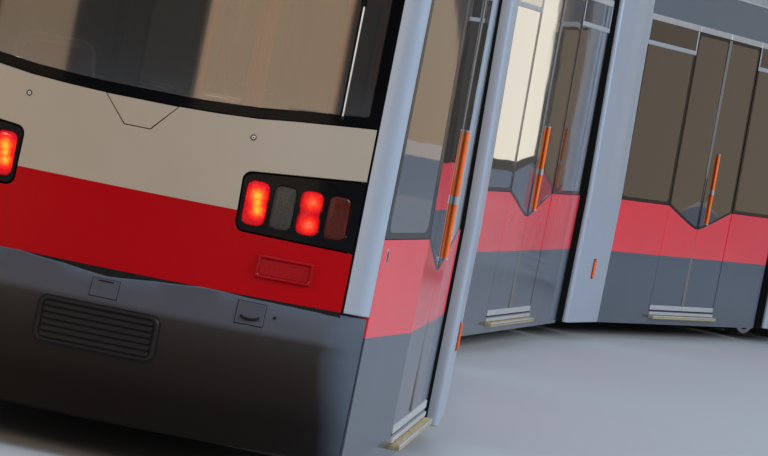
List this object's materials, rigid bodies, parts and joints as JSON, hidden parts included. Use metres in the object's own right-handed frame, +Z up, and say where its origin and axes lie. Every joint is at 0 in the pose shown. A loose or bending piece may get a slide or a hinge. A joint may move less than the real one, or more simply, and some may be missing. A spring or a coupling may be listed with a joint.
{
  "type": "articulated low-floor tram",
  "caption": "Articulated low-floor tram in a bend: hollow sections hung between wheel portals, with glazed sides, double doors, folded gaiters and a roof pantograph.",
  "frame": {"origin": "middle of the bounding box, at the lowest point of the wheel flanges", "axes": "+Z up, +Y forward along the middle section, +X to the right"},
  "size_m": [4.1548, 23.9345, 3.385],
  "materials": {
    "bumper": "dark grey satin",
    "contact_strip": "carbon",
    "door_leaf": "dark blue-grey and red paint",
    "end_face": "light warm grey above red",
    "floor": "speckled floor covering",
    "gaiter": "folded rubber",
    "lamp_unit": "black with coloured lenses",
    "pantograph_metal": "painted tube",
    "portal_metal": "silver paint",
    "roof_fairing": "satin grey",
    "roof_panel": "satin grey",
    "seat_shell": "upholstered",
    "side_panel": "glossy red paint above dark blue-grey",
    "wheel_steel": "worn steel",
    "window_glass": "tinted glass"
  },
  "bodies": {
    "middle_car": {"middle_car_doors": "door_leaf", "middle_car_floor": "floor", "middle_car_glass": "window_glass", "middle_car_roof": "roof_panel", "middle_car_seats": "seat_shell", "middle_car_sides": "side_panel", "pantograph_base": "pantograph_metal"},
    "rear_car": {"rear_car_bumper": "bumper", "rear_car_cab_and_seats": "seat_shell", "rear_car_doors": "door_leaf", "rear_car_end_face": "end_face", "rear_car_floor": "floor", "rear_car_glass": "window_glass", "rear_car_lamps": "lamp_unit", "rear_car_roof": "roof_panel", "rear_car_sides": "side_panel"},
    "second_car": {"second_car_doors": "door_leaf", "second_car_floor": "floor", "second_car_glass": "window_glass", "second_car_roof": "roof_panel", "second_car_roof_unit": "roof_fairing", "second_car_seats": "seat_shell", "second_car_sides": "side_panel"},
    "fourth_car": {"fourth_car_doors": "door_leaf", "fourth_car_floor": "floor", "fourth_car_glass": "window_glass", "fourth_car_roof": "roof_panel", "fourth_car_roof_unit": "roof_fairing", "fourth_car_seats": "seat_shell", "fourth_car_sides": "side_panel"},
    "front_car": {"front_car_bumper": "bumper", "front_car_cab_and_seats": "seat_shell", "front_car_doors": "door_leaf", "front_car_end_face": "end_face", "front_car_floor": "floor", "front_car_glass": "window_glass", "front_car_lamps": "lamp_unit", "front_car_roof": "roof_panel", "front_car_sides": "side_panel"},
    "portal_1": {"portal_1_frame": "portal_metal", "portal_1_gaiter": "gaiter"},
    "portal_2": {"portal_2_frame": "portal_metal", "portal_2_gaiter": "gaiter"},
    "portal_3": {"portal_3_frame": "portal_metal", "portal_3_gaiter": "gaiter"},
    "portal_4": {"portal_4_frame": "portal_metal", "portal_4_gaiter": "gaiter"},
    "wheel_1_left": {"wheel_1_left": "wheel_steel"},
    "wheel_1_right": {"wheel_1_right": "wheel_steel"},
    "wheel_2_left": {"wheel_2_left": "wheel_steel"},
    "wheel_2_right": {"wheel_2_right": "wheel_steel"},
    "wheel_3_left": {"wheel_3_left": "wheel_steel"},
    "wheel_3_right": {"wheel_3_right": "wheel_steel"},
    "wheel_4_left": {"wheel_4_left": "wheel_steel"},
    "wheel_4_right": {"wheel_4_right": "wheel_steel"},
    "pantograph_lower_arm": {"pantograph_lower_arm": "pantograph_metal"},
    "pantograph_upper_arm": {"pantograph_upper_arm": "pantograph_metal"},
    "pantograph_head": {"pantograph_head": "contact_strip"}
  },
  "joints": [
    {"name": "middle_to_portal_2", "type": "hinge", "parent": "middle_car", "child": "portal_2", "pos_m": [-0.91218, -2.19165, 0.25], "axis": [0, 0, 1], "range_deg": [-15.2, 3.8], "deforming": ["portal_2_gaiter"]},
    {"name": "portal_2_to_second", "type": "hinge", "parent": "portal_2", "child": "second_car", "pos_m": [-0.793, -3.38572, 0.25], "axis": [0, 0, 1], "range_deg": [-15.2, 3.8], "deforming": ["portal_2_gaiter"]},
    {"name": "second_to_portal_1", "type": "hinge", "parent": "second_car", "child": "portal_1", "pos_m": [0.08262, -7.72832, 0.25], "axis": [0, 0, 1], "range_deg": [-7, 12], "deforming": ["portal_1_gaiter"]},
    {"name": "portal_1_to_rear", "type": "hinge", "parent": "portal_1", "child": "rear_car", "pos_m": [0.26827, -8.91387, 0.25], "axis": [0, 0, 1], "range_deg": [-7, 12], "deforming": ["portal_1_gaiter"]},
    {"name": "middle_to_portal_3", "type": "hinge", "parent": "middle_car", "child": "portal_3", "pos_m": [-0.91218, 2.23835, 0.25], "axis": [0, 0, 1], "range_deg": [-4.45, 14.55], "deforming": ["portal_3_gaiter"]},
    {"name": "portal_3_to_fourth", "type": "hinge", "parent": "portal_3", "child": "fourth_car", "pos_m": [-0.80655, 3.43369, 0.25], "axis": [0, 0, 1], "range_deg": [-4.45, 14.55], "deforming": ["portal_3_gaiter"]},
    {"name": "fourth_to_portal_4", "type": "hinge", "parent": "fourth_car", "child": "portal_4", "pos_m": [-0.02968, 7.79504, 0.25], "axis": [0, 0, 1], "range_deg": [-5.5, 13.5], "deforming": ["portal_4_gaiter"]},
    {"name": "portal_4_to_front", "type": "hinge", "parent": "portal_4", "child": "front_car", "pos_m": [0.26266, 8.95889, 0.25], "axis": [0, 0, 1], "range_deg": [-5.5, 13.5], "deforming": ["portal_4_gaiter"]},
    {"name": "wheel_1_left_spin", "type": "hinge", "parent": "portal_1", "child": "wheel_1_left", "pos_m": [0.17545, -8.32109, 0.37], "axis": [0.988, 0.1547, 0], "continuous": true},
    {"name": "wheel_1_right_spin", "type": "hinge", "parent": "portal_1", "child": "wheel_1_right", "pos_m": [0.17545, -8.32109, 0.37], "axis": [0.988, 0.1547, 0], "continuous": true},
    {"name": "wheel_2_left_spin", "type": "hinge", "parent": "portal_2", "child": "wheel_2_left", "pos_m": [-0.85259, -2.78868, 0.37], "axis": [0.9951, 0.0993, 0], "continuous": true},
    {"name": "wheel_2_right_spin", "type": "hinge", "parent": "portal_2", "child": "wheel_2_right", "pos_m": [-0.85259, -2.78868, 0.37], "axis": [0.9951, 0.0993, 0], "continuous": true},
    {"name": "wheel_3_left_spin", "type": "hinge", "parent": "portal_3", "child": "wheel_3_left", "pos_m": [-0.85937, 2.83602, 0.37], "axis": [0.9961, -0.088, 0], "continuous": true},
    {"name": "wheel_3_right_spin", "type": "hinge", "parent": "portal_3", "child": "wheel_3_right", "pos_m": [-0.85937, 2.83602, 0.37], "axis": [0.9961, -0.088, 0], "continuous": true},
    {"name": "wheel_4_left_spin", "type": "hinge", "parent": "portal_4", "child": "wheel_4_left", "pos_m": [0.11649, 8.37696, 0.37], "axis": [0.9699, -0.2436, 0], "continuous": true},
    {"name": "wheel_4_right_spin", "type": "hinge", "parent": "portal_4", "child": "wheel_4_right", "pos_m": [0.11649, 8.37696, 0.37], "axis": [0.9699, -0.2436, 0], "continuous": true},
    {"name": "pantograph_raise", "type": "hinge", "parent": "middle_car", "child": "pantograph_lower_arm", "pos_m": [-0.91218, -0.87665, 3.205], "axis": [1, 0, 0], "range_deg": [0, 60]},
    {"name": "pantograph_unfold", "type": "hinge", "parent": "pantograph_lower_arm", "child": "pantograph_upper_arm", "pos_m": [-0.91218, 0.37335, 3.205], "axis": [1, 0, 0], "range_deg": [-120, 0]},
    {"name": "pantograph_head_level", "type": "hinge", "parent": "pantograph_upper_arm", "child": "pantograph_head", "pos_m": [-0.91218, -0.87665, 3.267], "axis": [1, 0, 0], "range_deg": [0, 60]}
  ],
  "couplings": [
    {"joint": "portal_2_to_second", "follows": "middle_to_portal_2", "ratio": 1},
    {"joint": "portal_1_to_rear", "follows": "second_to_portal_1", "ratio": 1},
    {"joint": "portal_3_to_fourth", "follows": "middle_to_portal_3", "ratio": 1},
    {"joint": "portal_4_to_front", "follows": "fourth_to_portal_4", "ratio": 1},
    {"joint": "pantograph_unfold", "follows": "pantograph_raise", "ratio": -2},
    {"joint": "pantograph_head_level", "follows": "pantograph_raise", "ratio": 1}
  ]
}
